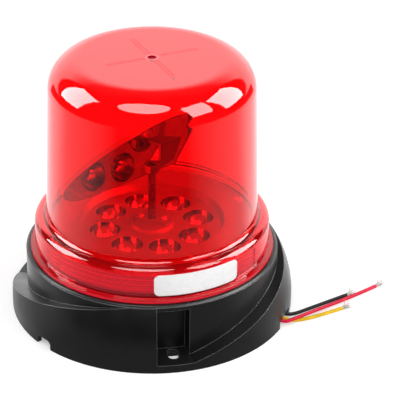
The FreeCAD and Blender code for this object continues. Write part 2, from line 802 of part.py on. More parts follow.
def driver_coil():
    along = (driver_inner + driver_outer) / 2 + 1
    return lathe((coil_radius * 0.35, 0), (coil_radius, 0), (coil_radius, 1.0), (coil_radius * 0.8, 1.4),
                 (coil_radius * 0.8, coil_height - 1.4), (coil_radius, coil_height - 1.0),
                 (coil_radius, coil_height), (coil_radius * 0.35, coil_height)), along


def driver_inductor():
    coil, along = driver_coil()
    return set_at(coil, [on_board(along, -driver_width / 2 + 2 * driver_pad_radius + coil_radius - 1.5,
                                  driver_top)])


# ================================ leads ==========================================================
def grommet_plug(fit):
    """Body of the grommet through the well's wall, on the X axis, shrunk by a fit."""
    width = 2 * lead_spacing + lead_diameter + 2 * (grommet_wall - fit)
    height = lead_diameter + 2 * (grommet_wall - fit)
    plug = Part.makeBox(grommet_depth, width, height,
                        Vector(well_radius - grommet_lip, -width / 2, lead_height - height / 2))
    return plug.makeFillet(height * 0.42, [e for e in plug.Edges if e.BoundBox.XLength > grommet_depth - 0.1])


def wire_grommet():
    width = 2 * (lead_spacing + grommet_rim) + lead_diameter
    height = lead_diameter + 2 * grommet_rim
    flange = Part.makeBox(grommet_lip, width, height,
                          Vector(well_radius - 1.6 * grommet_lip, -width / 2, lead_height - height / 2))
    flange = flange.makeFillet(grommet_rim - 0.3,
                               [e for e in flange.Edges if e.BoundBox.XLength > grommet_lip - 0.1])
    body = grommet_plug(grommet_fit).fuse(flange).removeSplitter()
    bores = [Part.makeCylinder(lead_diameter / 2 + running_clearance, 4 * grommet_depth,
                               Vector(well_radius - grommet_depth, lead_spacing * k, lead_height),
                               Vector(1, 0, 0))
             for k in (-1, 0, 1)]
    return turned(body.cut(bores), lead_azimuth)


def lead_start(side):
    """First two points of a lead: at the terminal block and past the grommet."""
    across = place(lead_spacing * side, lead_azimuth + 90.0)
    return [place(terminal_face, lead_azimuth, lead_height) + across,
            place(terminal_face + lead_straight, lead_azimuth, lead_height) + across]


def past_foot(extra, azimuth, height):
    """A point of a lead's route, by its distance past the foot."""
    return place(foot_radius + extra, azimuth, height)


lead_routes = {
    "red": lead_start(-1) + [past_foot(0.0, 65.4, 2.3), past_foot(6.3, 70.1, 3.5), past_foot(22.1, 82.2, 1.9),
                             past_foot(37.0, 88.9, 1.06), past_foot(51.9, 93.9, 1.06)],
    "yellow": lead_start(0) + [past_foot(0.1, 69.2, 1.3), past_foot(8.7, 71.6, 1.06),
                               past_foot(20.0, 77.3, 1.06), past_foot(30.4, 82.0, 1.06)],
    "black": lead_start(1) + [past_foot(-1.3, 70.7, 1.4), past_foot(14.9, 82.1, 1.06),
                              past_foot(33.2, 89.5, 1.06)],
}


def lead(colour):
    """Tube along a route's straight runs, joined by tangent arcs as large as the runs allow."""
    route = lead_routes[colour]
    edges = []
    here = route[0]
    for before, corner, after in zip(route, route[1:], route[2:]):
        back = (before - corner).normalize()
        ahead = (after - corner).normalize()
        turn = math.pi - back.getAngle(ahead)
        reach = 0.45 * min(before.distanceToPoint(corner), after.distanceToPoint(corner))
        radius = reach / math.tan(turn / 2)
        print(f"{colour} lead: turn {math.degrees(turn):.1f} degrees, radius {radius:.1f}")
        inside = (back + ahead).normalize()
        start = corner + back * reach
        end = corner + ahead * reach
        middle = corner + inside * (radius / math.cos(turn / 2) - radius)
        edges.append(Part.LineSegment(here, start).toShape())
        edges.append(Part.Arc(start, middle, end).toShape())
        here = end
    edges.append(Part.LineSegment(here, route[-1]).toShape())
    path = Part.Wire(edges)
    direction = (route[1] - route[0]).normalize()
    circle = Part.Wire(Part.Circle(route[0], direction, lead_diameter / 2).toShape())
    tube = path.makePipeShell([circle], True, False)
    print(f"{colour} lead: length {path.Length:.1f}, volume ratio "
          f"{tube.Volume / (path.Length * math.pi * lead_diameter ** 2 / 4):.4f}")
    return tube


def strands(colour):
    """Bare copper strands fanned out past the end of a lead."""
    end = lead_routes[colour][-1]
    ahead = (end - lead_routes[colour][-2]).normalize()
    side = ahead.cross(Vector(0, 0, 1)).normalize()
    up = side.cross(ahead)
    pieces = [Part.makeCylinder(core_radius, strand_length * 0.3, end, ahead)]
    for n in range(strand_count):
        angle = 2 * math.pi * n / strand_count
        lean = math.radians(strand_spread * (0.45 + 0.55 * ((n * 3) % strand_count) / strand_count))
        out = side * math.cos(angle) + up * abs(math.sin(angle))
        direction = ahead * math.cos(lean) + out * math.sin(lean)
        pieces.append(Part.makeCylinder(strand_radius, strand_length, end + out * 0.35 + ahead * 0.1,
                                        direction))
    return pieces[0].multiFuse(pieces[1:])


# ================================ mirror =========================================================
def in_mirror_plane(shape):
    """Moves a shape from the mirror's own plane (x, y up the slope, z behind) to its place."""
    turn = math.radians(mirror_turn)
    tilt = math.radians(mirror_tilt)
    left = Vector(-math.cos(turn), -math.sin(turn), 0)
    behind = Vector(-math.sin(tilt) * math.sin(turn), math.sin(tilt) * math.cos(turn), math.cos(tilt))
    moved = shape.copy()
    plane = Placement(Vector(0, 0, mirror_height), Rotation(left, behind.cross(left), behind, "XZY"))
    moved.Placement = plane.multiply(moved.Placement)
    return moved


def flat_wire(start, *steps):
    """The outline of the same steps, laid in the XY plane."""
    wire = outline(start, *steps)
    wire.rotate(Vector(0, 0, 0), Vector(1, 0, 0), -90)
    return wire


def mirror_edge():
    return flat_wire(mirror_foot, mirror_heel, mirror_step, mirror_notch, mirror_brow,
                     (mirror_crown, mirror_temple), (mirror_cheek, mirror_side), (mirror_jaw, mirror_foot))


def slab(wire, low, high):
    copy = wire.copy()
    copy.translate(Vector(0, 0, low))
    return Part.Face(copy).extrude(Vector(0, 0, high - low))


def window(slot_top):
    """Opening beside the hub, up to a line on the slope."""
    corners = window_corners
    lift = [(x, slot_top if y > -6 else y) for x, y in corners]
    return slab(flat_wire(lift[0], *lift[1:]), -1, tray_thickness + 1)


def mirror():
    plate = slab(mirror_edge(), 0, mirror_thickness)
    return in_mirror_plane(plate.cut(window(web_slot_top)))


def mirror_holder():
    edge = mirror_edge()
    tray = slab(edge.makeOffset2D(tray_lip + tray_fit, 2), 0, tray_thickness)
    pocket = slab(edge.makeOffset2D(tray_fit, 2), -1, mirror_thickness)
    left, low = window_corners[0]
    right = window_corners[1][0]
    bar = slab(flat_wire((left - 3 * tray_fit, web_slot_top - tray_fit), (right + tray_fit, web_slot_top - tray_fit),
                         (right - tray_fit, low), (left - web_bar_draft, low)), 0, mirror_thickness)
    tray = tray.cut([pocket, window(low)]).fuse(bar)
    tray = tray.cut(disc(small_screw_radius, -1, tray_thickness + 1, Vector(*mirror_screw_place, 0)))
    tray = in_mirror_plane(tray)
    collar_low = spindle_top - collar_height
    collar = disc(collar_radius, collar_low, spindle_top)
    bottom = (collar_radius - 1, collar_low)
    web_outer = -right - tray_fit
    web_inner = -left + 3 * tray_fit
    web = Part.Face(outline(bottom, (web_outer * 0.75, collar_low + web_rise * 0.4),
                            (web_outer, mirror_height - 1), (web_outer, mirror_height + 2),
                            (web_inner, mirror_height + 2), (web_inner, spindle_top),
                            (collar_radius - 1, spindle_top)))
    web.translate(Vector(0, -web_thickness / 2, 0))
    web = web.extrude(Vector(0, web_thickness, 0))
    web = turned(web, mirror_turn + 90.0)
    behind = in_mirror_plane(slab(mirror_edge(), tray_thickness - 0.5, 60))
    body = fused([collar, web.cut(behind), tray])
    return body.cut(disc(spindle_radius, collar_low - 1, spindle_top))


def mirror_screw():
    x, y = mirror_screw_place
    screw = pan_screw(small_screw_radius, small_head_radius, mirror_screw_height, tray_thickness - mirror_thickness)
    screw.translate(Vector(x, y, tray_thickness))
    return in_mirror_plane(screw)


# ================================ nodes ==========================================================
SUBPARTS = {
    "base_housing": base_housing, "lens_seal": lens_seal, "lens": lens, "label": label,
    "chassis_plate": chassis_plate, "chassis_screws": chassis_screws,
    "led_board": led_board, "led_board_screws": led_board_screws, "leds": leds,
    "reflector": reflector, "reflector_standoffs": reflector_standoffs, "reflector_screws": reflector_screws,
    "upper_bearing": upper_bearing, "bearing_screws": bearing_screws,
    "lower_bearing": lower_bearing, "thrust_washer": thrust_washer,
    "spindle": spindle, "spindle_gear": spindle_gear,
    "drive_motor": drive_motor, "motor_screws": motor_screws,
    "motor_shaft": motor_shaft, "motor_pinion": motor_pinion,
    "driver_board": driver_board, "driver_board_screws": driver_board_screws,
    "terminal_block": terminal_block, "driver_capacitors": driver_capacitors,
    "driver_inductor": driver_inductor, "wire_grommet": wire_grommet,
    "mirror_holder": mirror_holder, "mirror": mirror, "mirror_screw": mirror_screw,
}
for colour in lead_routes:
    SUBPARTS[f"lead_{colour}"] = lambda colour=colour: lead(colour)
    SUBPARTS[f"strands_{colour}"] = lambda colour=colour: strands(colour)

os.makedirs("parts", exist_ok=True)
for node, make in SUBPARTS.items():
    shape = make()
    solids = shape.Solids
    print(f"{node}: {len(solids)} solids, valid {shape.isValid()}, volume {shape.Volume:.0f}")
    shape.exportStep(f"parts/{node}.step")
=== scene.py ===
"""Rotating beacon: finishes, leads, bared strands, floor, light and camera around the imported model."""
import functools
import math
import random

import bpy
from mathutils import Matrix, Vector


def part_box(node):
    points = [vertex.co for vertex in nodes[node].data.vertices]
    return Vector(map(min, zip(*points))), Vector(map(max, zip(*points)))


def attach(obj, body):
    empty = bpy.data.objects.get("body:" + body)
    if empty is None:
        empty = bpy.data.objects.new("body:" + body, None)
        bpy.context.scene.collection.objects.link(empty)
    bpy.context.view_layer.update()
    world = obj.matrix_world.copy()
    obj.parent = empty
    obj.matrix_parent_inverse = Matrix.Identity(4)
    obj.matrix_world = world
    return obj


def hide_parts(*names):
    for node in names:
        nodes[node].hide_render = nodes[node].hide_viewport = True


MM = 0.001

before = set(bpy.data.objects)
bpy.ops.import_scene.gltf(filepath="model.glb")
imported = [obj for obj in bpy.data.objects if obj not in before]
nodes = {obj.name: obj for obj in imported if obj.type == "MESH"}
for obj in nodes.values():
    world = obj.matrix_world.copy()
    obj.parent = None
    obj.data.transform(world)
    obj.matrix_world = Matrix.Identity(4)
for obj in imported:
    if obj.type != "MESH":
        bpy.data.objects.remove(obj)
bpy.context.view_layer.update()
scene = bpy.context.scene


# ================================ shader helpers =================================================
def principled(name, color, roughness, metallic=0.0, **sockets):
    """A new material with its Principled shader's sockets set; spaces in their names are underscores."""
    material = bpy.data.materials.new(name)
    material.use_nodes = True
    shader = material.node_tree.nodes["Principled BSDF"]
    shader.inputs["Base Color"].default_value = (*color, 1)
    shader.inputs["Roughness"].default_value = roughness
    shader.inputs["Metallic"].default_value = metallic
    for socket, value in sockets.items():
        shader.inputs[socket.replace("_", " ")].default_value = value
    return material


def add(material, kind, **values):
    """A new node of a kind, with inputs by name, or by number as in0, in1."""
    made = material.node_tree.nodes.new(kind)
    for key, value in values.items():
        socket = made.inputs[int(key[2:])] if key[:2] == "in" and key[2:].isdigit() else made.inputs[key]
        if isinstance(value, bpy.types.NodeSocket):
            material.node_tree.links.new(value, socket)
        else:
            socket.default_value = value
    return made


def shader_of(material):
    return material.node_tree.nodes["Principled BSDF"]


def surface_of(material):
    return material.node_tree.nodes["Material Output"].inputs["Surface"]


def link(material, output, socket):
    material.node_tree.links.new(output, socket)


def place_of(material):
    """Where a point is in the part's own space, in metres."""
    return add(material, "ShaderNodeTexCoord").outputs["Object"]


def noise(material, scale, detail, stretch=None):
    """Noise in the part's own space, with a scale in cells per metre."""
    where = place_of(material)
    if stretch:
        where = add(material, "ShaderNodeMapping", in0=where, Scale=stretch).outputs[0]
    return add(material, "ShaderNodeTexNoise", Vector=where, Scale=scale, Detail=detail).outputs[0]


def set_stops(made, stops):
    """Positions and colours of a colour ramp's stops."""
    elements = made.color_ramp.elements
    while len(elements) < len(stops):
        elements.new(0.5)
    for element, (position, color) in zip(elements, stops):
        element.position = position
        element.color = (*color, 1)


def ramp(material, factor, *stops):
    """Colour ramp over a factor; each stop is a position and a colour."""
    made = add(material, "ShaderNodeValToRGB", Fac=factor)
    set_stops(made, stops)
    return made.outputs[0]


def rounded_normal(material, radius):
    """The surface's direction, with edges rounded to a radius."""
    rounded = add(material, "ShaderNodeBevel", Radius=radius)
    rounded.samples = 6
    return rounded.outputs[0]


def grain(material, height, depth, strength, edge=0.0):
    """Bump of a depth in metres from a height output, over edges rounded by the Bevel node."""
    bump = add(material, "ShaderNodeBump", Height=height, Strength=strength, Distance=depth)
    if edge:
        link(material, rounded_normal(material, edge), bump.inputs["Normal"])
    link(material, bump.outputs[0], shader_of(material).inputs["Normal"])


def varied(material, scale, low, high):
    """Base colour that wanders between two colours."""
    color = ramp(material, noise(material, scale, 3.0), (0.35, low), (0.65, high))
    link(material, color, shader_of(material).inputs["Base Color"])


def rough_varied(material, scale, low, high):
    """Roughness that wanders between two values."""
    spread = add(material, "ShaderNodeMapRange", in0=noise(material, scale, 4.0))
    spread.inputs["From Min"].default_value = 0.3
    spread.inputs["From Max"].default_value = 0.7
    spread.inputs["To Min"].default_value = low
    spread.inputs["To Max"].default_value = high
    link(material, spread.outputs[0], shader_of(material).inputs["Roughness"])


class Wiring:
    """Maths nodes in a material's or world's tree, joined as they are made."""

    def __init__(self, tree):
        self.tree = tree

    def feed(self, value, socket):
        """Joins an output to an input, or sets the input to a number."""
        if isinstance(value, bpy.types.NodeSocket):
            self.tree.links.new(value, socket)
        else:
            socket.default_value = value

    def maths(self, operation, *values):
        """Output of a maths node that works on outputs or numbers."""
        made = self.tree.nodes.new("ShaderNodeMath")
        made.operation = operation
        for socket, value in zip(made.inputs, values):
            self.feed(value, socket)
        return made.outputs[0]

    def product(self, *values):
        return functools.reduce(functools.partial(self.maths, "MULTIPLY"), values)

    def highest(self, *values):
        return functools.reduce(functools.partial(self.maths, "MAXIMUM"), values)

    def above(self, value, limit):
        return self.maths("GREATER_THAN", value, limit)

    def below(self, value, limit):
        return self.maths("LESS_THAN", value, limit)

    def gap(self, value, other):
        """How far two values are apart."""
        return self.maths("ABSOLUTE", self.maths("SUBTRACT", value, other))

    def from_axis(self, x, y):
        """Distance from the upright axis."""
        return self.maths("SQRT", self.maths("ADD", self.product(x, x), self.product(y, y)))

    def ramp(self, factor, *stops):
        """Levels over a factor; each stop is a position and a level."""
        made = self.tree.nodes.new("ShaderNodeValToRGB")
        self.feed(factor, made.inputs[0])
        set_stops(made, [(position, (level, level, level)) for position, level in stops])
        return made.outputs[0]

    def parts(self, vector):
        """A vector's x, y and z."""
        made = self.tree.nodes.new("ShaderNodeSeparateXYZ")
        self.tree.links.new(vector, made.inputs[0])
        return made.outputs

    def ray(self, kind):
        """1 for rays of a kind, such as Camera or Glossy, and 0 for others."""
        return self.tree.nodes.new("ShaderNodeLightPath").outputs[f"Is {kind} Ray"]

    def mirrored(self):
        """1 for rays that gloss reflects or glass lets through."""
        return self.highest(self.ray("Glossy"), self.ray("Transmission"))


# ================================ finishes =======================================================
lens_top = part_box("lens")[1][2]
top_skin = 0.05 * MM
top_rib_turn = 24.4
top_rib_length = 56.0 * MM
top_rib_width = 2.0 * MM
rib_line_reach = 0.28 * MM
gate_radius = 2.4 * MM
gate_depth = 1.0 * MM
flute_pitch = 1.6 * MM
# Share of haze in the skirt, by height in millimetres on a ramp as long as haze_span; the high share on the
# bead, from 39 to 39.4 mm, is a painted highlight that makes a bright line along it.
haze_span = 100.0
skirt_hazes = [(39.0, 0.6), (39.4, 0.6), (39.9, 0.05), (42.0, 0.12), (44.0, 0.42), (52.0, 0.42), (56.0, 0.0)]
lock_stop_azimuth = 58.0
lock_stop_reach = 0.5
lock_stop_foot = 43.0 * MM
lock_stop_head = 53.5 * MM
dish_depth = 4.0 * MM
flat_margin = 0.3 * MM
mirror_turn = 36.0
mirror_tilt = 50.0


def plastic(name, color, roughness, edge=0.4 * MM):
    """Moulded plastic: a fine spark-eroded grain, soft edges and a slight drift in gloss."""
    material = principled(name, color, roughness)
    rough_varied(material, 60, roughness - 0.05, roughness + 0.06)
    grain(material, noise(material, 2600, 2.0), 0.02 * MM, 0.5, edge)
    return material


def moulded(name, low, high, roughness, edge=0.4 * MM):
    """Moulded plastic whose colour drifts slightly too."""
    material = plastic(name, high, roughness, edge)
    varied(material, 35, low, high)
    return material


def base_plastic():
    """Black moulding that is paler along its sharp edges: a painted highlight where the edges catch the
    light.
    """
    black = (0.005, 0.005, 0.0055)
    material = plastic("base_plastic", black, 0.3, 0.5 * MM)
    shader_of(material).inputs["Specular IOR Level"].default_value = 0.34
    # Painted highlight: along edges, where the rounded normal turns away from the true one, the base colour
    # goes to pale grey.
    facing = material.node_tree.nodes.new("ShaderNodeVectorMath")
    facing.operation = "DOT_PRODUCT"
    link(material, rounded_normal(material, 0.35 * MM), facing.inputs[0])
    link(material, add(material, "ShaderNodeNewGeometry").outputs["Normal"], facing.inputs[1])
    painted_edge_highlight = ramp(material, facing.outputs["Value"], (0.9, (0.2, 0.2, 0.2)), (0.985, black))
    link(material, painted_edge_highlight, shader_of(material).inputs["Base Color"])
    return material


def metal(name, color, roughness, brushing=None, edge=0.15 * MM):
    """Metal with slight drifts in colour and gloss, and a faint grain that brushing draws out."""
    material = principled(name, color, roughness, 1.0)
    low = tuple(c * 0.82 for c in color)
    varied(material, 300, low, color)
    rough_varied(material, 500, roughness * 0.75, roughness * 1.3)
    grain(material, noise(material, 1800, 2.0, brushing), 0.01 * MM, 0.4, edge)
    return material


def rib_lines(wiring, x, y):
    """Both edges of each of the crossed ribs under the lens's top, as far in as the gate's recess."""
    turn = math.radians(top_rib_turn)
    along = wiring.maths("ADD", wiring.product(x, math.cos(turn)), wiring.product(y, math.sin(turn)))
    across = wiring.maths("SUBTRACT", wiring.product(y, math.cos(turn)), wiring.product(x, math.sin(turn)))
    along = wiring.maths("ABSOLUTE", along)
    across = wiring.maths("ABSOLUTE", across)
    arm = wiring.highest(along, across)
    edge = wiring.gap(wiring.maths("MINIMUM", along, across), top_rib_width / 2)
    return wiring.product(wiring.below(edge, rib_line_reach), wiring.below(arm, top_rib_length / 2),
                          wiring.above(arm, gate_radius * 1.8))


def gate_halo(wiring, radius):
    """A pale ring round the gate's recess."""
    return wiring.ramp(wiring.maths("DIVIDE", radius, gate_radius * 2), (0.5, 0.0), (0.6, 1.0), (0.75, 1.0),
                       (0.85, 0.0))


def skirt_haze(wiring, height):
    """The skirt's textured inside, with flutes that run round it, and a painted highlight on the bead where
    the share of haze is raised.
    """
    haze = wiring.ramp(wiring.maths("DIVIDE", height, haze_span * MM),
                       *[(level / haze_span, share) for level, share in skirt_hazes])
    fluting = wiring.maths("SINE", wiring.product(height, math.tau / flute_pitch))
    return wiring.product(haze, wiring.maths("MULTIPLY_ADD", fluting, 0.22, 0.85))


def lock_stop_line(wiring, x, y, height):
    """Upright line where the lock's stop is moulded inside the skirt."""
    azimuth = wiring.maths("ARCTAN2", x, wiring.product(y, -1.0))
    beside = wiring.gap(azimuth, math.radians(lock_stop_azimuth))
    return wiring.product(wiring.below(beside, math.radians(lock_stop_reach)),
                          wiring.below(height, lock_stop_head), wiring.above(height, lock_stop_foot))


def lens_plastic():
    """Clear red polycarbonate: it colours what is behind it and lets lamplight in.

    The skirt is hazy, with a painted highlight along its bead, and the ribs under the top, the gate and the
    lock's stop show as darker sink marks.
    """
    material = principled("red_lens", (1.0, 0.035, 0.045), 0.0, IOR=1.5, Transmission_Weight=1.0)
    wiring = Wiring(material.node_tree)
    x, y, z = wiring.parts(place_of(material))
    radius = wiring.from_axis(x, y)
    top_face = wiring.above(z, lens_top - top_skin)
    ribs = wiring.product(rib_lines(wiring, x, y), top_face)
    gate = wiring.product(wiring.below(radius, gate_radius * 1.05), wiring.above(z, lens_top - gate_depth))
    halo = wiring.product(gate_halo(wiring, radius), top_face)
    relief = wiring.maths("SUBTRACT", noise(material, 26, 1.0), wiring.product(ribs, 2.0))
    grain(material, relief, 0.03 * MM, 0.35)
    sunk = wiring.highest(wiring.product(ribs, 0.6), wiring.product(gate, 0.85),
                          wiring.product(lock_stop_line(wiring, x, y, z), 0.7))
    let_through = wiring.highest(wiring.ray("Shadow"), wiring.ray("Diffuse"))
    layers = [
        (skirt_haze(wiring, z), "ShaderNodeBsdfDiffuse", (0.9, 0.03, 0.06)),
        (wiring.product(halo, 0.2), "ShaderNodeBsdfDiffuse", (1.0, 0.42, 0.44)),
        (sunk, "ShaderNodeBsdfDiffuse", (0.26, 0.002, 0.016)),
        (let_through, "ShaderNodeBsdfTransparent", (1.0, 0.19, 0.17)),
    ]
    surface = shader_of(material).outputs[0]
    for share, kind, color in layers:
        layer = add(material, kind, Color=(*color, 1))
        mixed = add(material, "ShaderNodeMixShader", in0=share, in1=surface, in2=layer.outputs[0])
        surface = mixed.outputs[0]
    link(material, surface, surface_of(material))
    return material


def reflector_coat():
    """Vacuum metal: bright in the cups, and satin on the flats between them."""
    cup_tone = (0.4, 0.4, 0.41)
    material = principled("reflector_metal", cup_tone, 0.13)
    grain(material, noise(material, 1800, 2.0), 0.01 * MM, 0.4, 0.35 * MM)
    shader = shader_of(material)
    wiring = Wiring(material.node_tree)
    height = wiring.parts(place_of(material))[2]
    flat = wiring.above(height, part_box("reflector")[1][2] - dish_depth - flat_margin)
    color = ramp(material, flat, (0.0, cup_tone), (1.0, (0.42, 0.42, 0.42)))
    link(material, color, shader.inputs["Base Color"])
    wiring.feed(wiring.maths("MULTIPLY_ADD", flat, 0.3, 0.13), shader.inputs["Roughness"])
    wiring.feed(wiring.maths("MULTIPLY_ADD", flat, -0.65, 1.0), shader.inputs["Metallic"])
    return material


def holder_plastic():
    """Grey moulding whose rim faces, edge-on to the mirror, are painted near white: a painted highlight along
    the rim.
    """
    face_tone = (0.14, 0.14, 0.14)
    material = plastic("holder_plastic", face_tone, 0.35)
    tilt = math.radians(mirror_tilt)
    turn = math.radians(mirror_turn)
    behind = (-math.sin(tilt) * math.sin(turn), math.sin(tilt) * math.cos(turn), math.cos(tilt))
    wiring = Wiring(material.node_tree)
    sides = wiring.parts(add(material, "ShaderNodeTexCoord").outputs["Normal"])
    facing = wiring.product(sides[0], behind[0])
    for side, share in zip(sides[1:3], behind[1:]):
        facing = wiring.maths("MULTIPLY_ADD", side, share, facing)
    # Painted highlight: faces edge-on to the mirror's plane get a near-white base colour in place of the face
    # tone.
    rim_highlight_mask = wiring.below(wiring.maths("ABSOLUTE", facing), 0.5)
    color = ramp(material, rim_highlight_mask, (0.0, face_tone), (1.0, (0.9, 0.9, 0.9)))
    link(material, color, shader_of(material).inputs["Base Color"])
    return material


def led_resin():
    """White package with a yellow phosphor under its clear dome."""
    material = principled("led_resin", (0.9, 0.85, 0.55), 0.15, Coat_Weight=0.8)
    height = add(material, "ShaderNodeSeparateXYZ", in0=place_of(material)).outputs[2]
    share = add(material, "ShaderNodeMapRange", in0=height)
    share.inputs["From Min"].default_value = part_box("leds")[0][2]
    share.inputs["From Max"].default_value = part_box("leds")[1][2]
    color = ramp(material, share.outputs[0], (0.45, (0.85, 0.84, 0.8)), (0.62, (0.95, 0.78, 0.2)))
    link(material, color, shader_of(material).inputs["Base Color"])
    return material


def circuit_board(name, mask, copper):
    """Solder mask with traces that show through it as a finer, paler pattern."""
    material = principled(name, mask, 0.3, Coat_Weight=0.3)
    cells = add(material, "ShaderNodeTexBrick", Vector=place_of(material), Scale=120.0)
    cells.inputs["Color1"].default_value = (*mask, 1)
    cells.inputs["Color2"].default_value = (*mask, 1)
    cells.inputs["Mortar"].default_value = (*copper, 1)
    cells.inputs["Mortar Size"].default_value = 0.04
    link(material, cells.outputs[0], shader_of(material).inputs["Base Color"])
    grain(material, cells.outputs[1], 0.03 * MM, 0.4)
    return material


def sticker():
    """Blank white film with a faint fibre and a soft sheen."""
    material = principled("label_white", (0.93, 0.93, 0.93), 0.42, Coat_Weight=0.15)
    varied(material, 400, (0.9, 0.9, 0.9), (0.95, 0.95, 0.95))
    grain(material, noise(material, 3000, 3.0), 0.008 * MM, 0.3, 0.1 * MM)
    return material


def sleeve(name, color):
    """PVC wire sleeve: even colour, slightly waxy, with a faint waviness along it."""
    material = principled(name, color, 0.4, Specular_IOR_Level=0.1)
    dark = tuple(c * 0.8 for c in color)
    varied(material, 220, dark, color)
    grain(material, noise(material, 600, 2.0), 0.03 * MM, 0.5)
    return material


rubber = moulded("seal_rubber", (0.008, 0.008, 0.008), (0.014, 0.014, 0.014), 0.62, 0.2 * MM)
screw_metal = metal("zinc_screws", (0.72, 0.71, 0.68), 0.28)
steel = metal("spindle_steel", (0.22, 0.22, 0.23), 0.3, (1, 1, 0.05))
aluminium = metal("chassis_plate", (0.52, 0.52, 0.52), 0.45)
shader_of(aluminium).inputs["Metallic"].default_value = 0.5
mirror_face = metal("mirror_face", (0.64, 0.64, 0.64), 0.04, None, 0.2 * MM)
brass = metal("pinion_brass", (0.78, 0.6, 0.28), 0.3)

finishes = {
    "base_housing": base_plastic(),
    "lens_seal": rubber,
    "lens": lens_plastic(),
    "label": sticker(),
    "chassis_plate": aluminium,
    "led_board": circuit_board("board_white", (0.8, 0.8, 0.78), (0.7, 0.69, 0.65)),
    "leds": led_resin(),
    "reflector": reflector_coat(),
    "reflector_standoffs": aluminium,
    "upper_bearing": moulded("bearing_plastic", (0.42, 0.42, 0.42), (0.48, 0.48, 0.48), 0.35),
    "lower_bearing": metal("bearing_bronze", (0.62, 0.44, 0.22), 0.4),
    "thrust_washer": moulded("washer_plastic", (0.8, 0.8, 0.76), (0.85, 0.85, 0.8), 0.4),
    "spindle": steel,
    "spindle_gear": moulded("gear_plastic", (0.82, 0.8, 0.72), (0.88, 0.86, 0.8), 0.35),
    "drive_motor": metal("motor_can", (0.6, 0.6, 0.6), 0.3),
    "motor_shaft": steel,
    "motor_pinion": brass,
    "driver_board": circuit_board("board_green", (0.03, 0.2, 0.08), (0.06, 0.34, 0.14)),
    "terminal_block": moulded("terminal_plastic", (0.05, 0.25, 0.1), (0.07, 0.3, 0.13), 0.4),
    "driver_capacitors": metal("capacitor_can", (0.2, 0.2, 0.24), 0.35),
    "driver_inductor": moulded("inductor_ferrite", (0.05, 0.05, 0.05), (0.08, 0.08, 0.08), 0.6),
    "wire_grommet": rubber,
    "mirror_holder": holder_plastic(),
    "mirror": mirror_face,
}
for node_name, obj in nodes.items():
    finish = finishes.get(node_name)
    if finish is None and "screw" in node_name:
        finish = screw_metal
    if finish:
        obj.data.materials.clear()
        obj.data.materials.append(finish)


# ================================ leads ==========================================================
sleeve_diameter = 2.1 * MM
strand_diameter = 0.26 * MM
strand_count = 19
strand_reach = 5.0 * MM
strand_start = 0.8 * MM
strand_inset = 0.28 * MM
fan_aside = 3.2
fan_up = 2.4
golden_turn = math.pi * (3 - math.sqrt(5))
# Places of the leads, in millimetres and degrees; on_table is the height of a sleeve that lies on the table.
foot_radius = 82.5
exit_azimuth = 69.5
exit_height = 10.3
exit_inner = 54.5
exit_outer = 68.4
exit_pitch = 3.0
on_table = 1.06


def around_axis(radius, azimuth, height, across=0.0):
    """A point by its azimuth from the front towards the right, in millimetres, moved across by a distance."""
    turn = math.radians(azimuth)
    side = Vector((math.cos(turn), math.sin(turn), 0))
    return Vector((radius * math.sin(turn), -radius * math.cos(turn), height)) - side * across


# Side of the exit, length, then the route: distance past the foot, azimuth and height.
lead_routes = {
    "red": (1, 102.5, [(0.0, 65.4, 2.3), (6.3, 70.1, 3.5), (22.1, 82.2, 1.9), (37.0, 88.9, on_table),
                       (51.9, 93.9, on_table)]),
    "yellow": (0, 67.8, [(0.1, 69.2, 1.3), (8.7, 71.6, on_table), (20.0, 77.3, on_table),
                         (30.4, 82.0, on_table)]),
    "black": (-1, 74.4, [(-1.3, 70.7, 1.4), (14.9, 82.1, on_table), (33.2, 89.5, on_table)]),
}
sleeves = {
    "red": sleeve("wire_red", (0.9, 0.006, 0.055)),
    "yellow": sleeve("wire_yellow", (0.98, 0.64, 0.008)),
    "black": sleeve("wire_black", (0.004, 0.004, 0.004)),
}
tinned = metal("tinned_strands", (0.42, 0.4, 0.37), 0.35)


def curve_object(name, runs, diameter, material):
    """One curve object with a NURBS spline for each run of points."""
    data = bpy.data.curves.new(name, "CURVE")
    data.dimensions = "3D"
    data.bevel_depth = diameter / 2
    data.bevel_resolution = 6
    data.resolution_u = 16
    data.use_fill_caps = True
    for run in runs:
        spline = data.splines.new("NURBS")
        spline.points.add(len(run) - 1)
        for point, where in zip(spline.points, run):
            point.co = (*where, 1)
        spline.order_u = 3
        spline.use_endpoint_u = True
    made = bpy.data.objects.new(name, data)
    scene.collection.objects.link(made)
    data.materials.append(material)
    return made


def bared_strands(name, tip, heading, seed):
    """Loose strands that fan out of a sleeve's cut end, mostly sideways, clear of the floor."""
    shuffle = random.Random(seed)
    across = Vector((0, 0, 1)).cross(heading).normalized()
    up = heading.cross(across)
    runs = []
    for n in range(strand_count):
        turn = n * golden_turn
        spread = math.sqrt((n + 0.5) / strand_count) * (sleeve_diameter / 2 - strand_inset)
        start = tip + (across * math.cos(turn) + up * math.sin(turn)) * spread
        fan = (across * math.cos(turn) * fan_aside + up * (math.sin(turn) + 1.0) * fan_up) * spread
        reach = strand_reach * (0.7 + 0.3 * shuffle.random())
        bend = across * (shuffle.random() - 0.5) * 0.7 * MM
        runs.append([start - heading * strand_start, start + heading * reach * 0.5 + fan * 0.1,
                     start + heading * reach + fan + bend])
    return curve_object(name, runs, strand_diameter, tinned)


